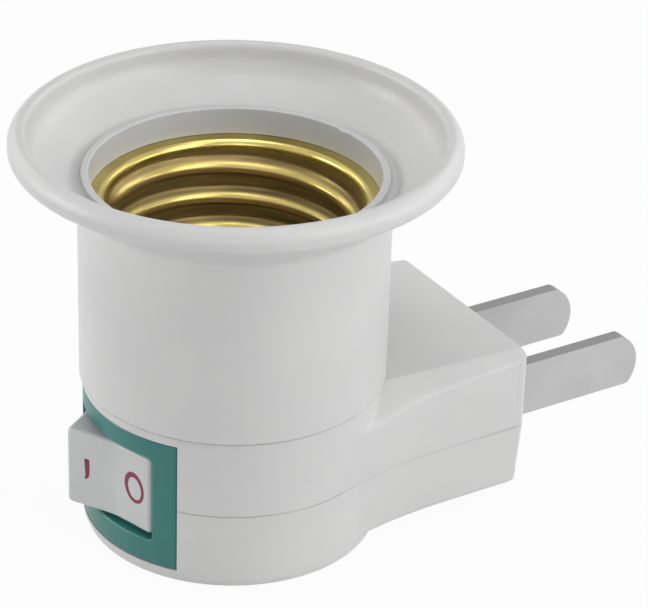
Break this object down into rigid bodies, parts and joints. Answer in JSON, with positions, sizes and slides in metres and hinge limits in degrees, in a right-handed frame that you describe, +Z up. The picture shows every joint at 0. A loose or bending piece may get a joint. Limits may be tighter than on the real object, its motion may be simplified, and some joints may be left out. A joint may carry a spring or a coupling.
{
  "type": "lamp socket adapter",
  "caption": "Plug-in adapter with a screw lamp socket inside a flared sleeve, a rocker switch in its round base and flat plug blades on a side arm.",
  "frame": {"origin": "centre of the foot, on the axis of the socket", "axes": "+Z up the socket towards its mouth, +Y out along the plug blades, the switch faces -Y"},
  "size_m": [0.0467, 0.0723, 0.0458],
  "materials": {
    "white_plastic": "moulded, semi-gloss",
    "rocker_plastic": "moulded, semi-gloss",
    "inner_plastic": "plain",
    "teal_plastic": "translucent, glossy",
    "shell_brass": "bright rolled",
    "rivet_brass": "bright",
    "strip_brass": "plain stamped",
    "contact_metal": "silver plated",
    "blade_metal": "nickel plated",
    "spring_steel": "drawn wire",
    "screw_steel": "zinc plated"
  },
  "bodies": {
    "housing": {"flared_sleeve": "white_plastic", "upper_housing": "white_plastic", "lower_housing": "white_plastic", "socket_floor": "white_plastic", "screw_shell": "shell_brass", "centre_contact": "shell_brass", "centre_rivet": "rivet_brass", "shell_rivets": "rivet_brass", "switch_bezel": "teal_plastic", "fixed_contact_head": "contact_metal", "common_terminal": "strip_brass", "fixed_terminal": "strip_brass", "line_strip": "strip_brass", "neutral_strip": "strip_brass", "blade_left": "blade_metal", "blade_right": "blade_metal", "housing_screws": "screw_steel"},
    "rocker": {"rocker": "rocker_plastic", "plunger": "inner_plastic", "plunger_spring": "spring_steel"},
    "contact": {"moving_contact": "strip_brass", "moving_contact_head": "contact_metal"}
  },
  "joints": [
    {"name": "rocker_tilt", "type": "hinge", "parent": "housing", "child": "rocker", "pos_m": [0, -0.01133, 0.0094], "axis": [0, 0, -1], "range_deg": [0, 47.5]},
    {"name": "contact_rock", "type": "hinge", "parent": "housing", "child": "contact", "pos_m": [0, -0.00402, 0.0094], "axis": [0, 0, 1], "range_deg": [0, 28]}
  ],
  "couplings": [
    {"joint": "contact_rock", "follows": "rocker_tilt", "ratio": 0.58947}
  ]
}
